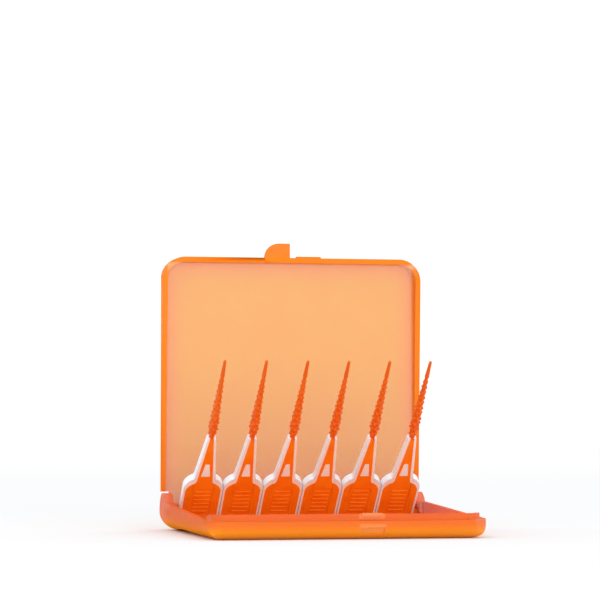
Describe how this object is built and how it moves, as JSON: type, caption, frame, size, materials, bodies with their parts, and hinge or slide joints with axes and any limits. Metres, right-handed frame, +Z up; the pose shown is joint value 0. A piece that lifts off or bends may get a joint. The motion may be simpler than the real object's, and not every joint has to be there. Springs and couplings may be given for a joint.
{
  "type": "interdental brush",
  "caption": "Flat hinged travel case standing open, with interdental picks in a tilting rack that rises with the lid.",
  "frame": {"origin": "centre of the footprint of the open case, on the surface that it stands on", "axes": "+X along the hinge, -Y towards the front of the case, +Z up, out of the tray"},
  "size_m": [0.068, 0.0698, 0.0735],
  "materials": {
    "case_base": "satin",
    "case_lid": "satin",
    "rack": "satin",
    "pick_core": "matte",
    "pick_sleeve": "matte"
  },
  "bodies": {
    "base": {"base_shell": "case_base"},
    "lid": {"lid_shell": "case_lid"},
    "rack": {"pick_rack": "rack"},
    "pick_1": {"pick_core_1": "pick_core", "pick_sleeve_1": "pick_sleeve"},
    "pick_2": {"pick_core_2": "pick_core", "pick_sleeve_2": "pick_sleeve"},
    "pick_3": {"pick_core_3": "pick_core", "pick_sleeve_3": "pick_sleeve"},
    "pick_4": {"pick_core_4": "pick_core", "pick_sleeve_4": "pick_sleeve"},
    "pick_5": {"pick_core_5": "pick_core", "pick_sleeve_5": "pick_sleeve"},
    "pick_6": {"pick_core_6": "pick_core", "pick_sleeve_6": "pick_sleeve"}
  },
  "joints": [
    {"name": "lid_hinge", "type": "hinge", "parent": "base", "child": "lid", "pos_m": [0, 0.0302, 0.0047], "axis": [-1, 0, 0], "range_deg": [-90, 0]},
    {"name": "rack_tilt", "type": "hinge", "parent": "base", "child": "rack", "pos_m": [0, 0.027, 0.0036], "axis": [-1, 0, 0], "range_deg": [-45, 0]},
    {"name": "pick_1_slide", "type": "slide", "parent": "rack", "child": "pick_1", "axis": [0, -0.7071, 0.7071], "range_m": [0, 0.012]},
    {"name": "pick_2_slide", "type": "slide", "parent": "rack", "child": "pick_2", "axis": [0, -0.7071, 0.7071], "range_m": [0, 0.012]},
    {"name": "pick_3_slide", "type": "slide", "parent": "rack", "child": "pick_3", "axis": [0, -0.7071, 0.7071], "range_m": [0, 0.012]},
    {"name": "pick_4_slide", "type": "slide", "parent": "rack", "child": "pick_4", "axis": [0, -0.7071, 0.7071], "range_m": [0, 0.012]},
    {"name": "pick_5_slide", "type": "slide", "parent": "rack", "child": "pick_5", "axis": [0, -0.7071, 0.7071], "range_m": [0, 0.012]},
    {"name": "pick_6_slide", "type": "slide", "parent": "rack", "child": "pick_6", "axis": [0, -0.7071, 0.7071], "range_m": [0, 0.012]}
  ],
  "couplings": [
    {"joint": "rack_tilt", "follows": "lid_hinge", "ratio": 0.5}
  ]
}
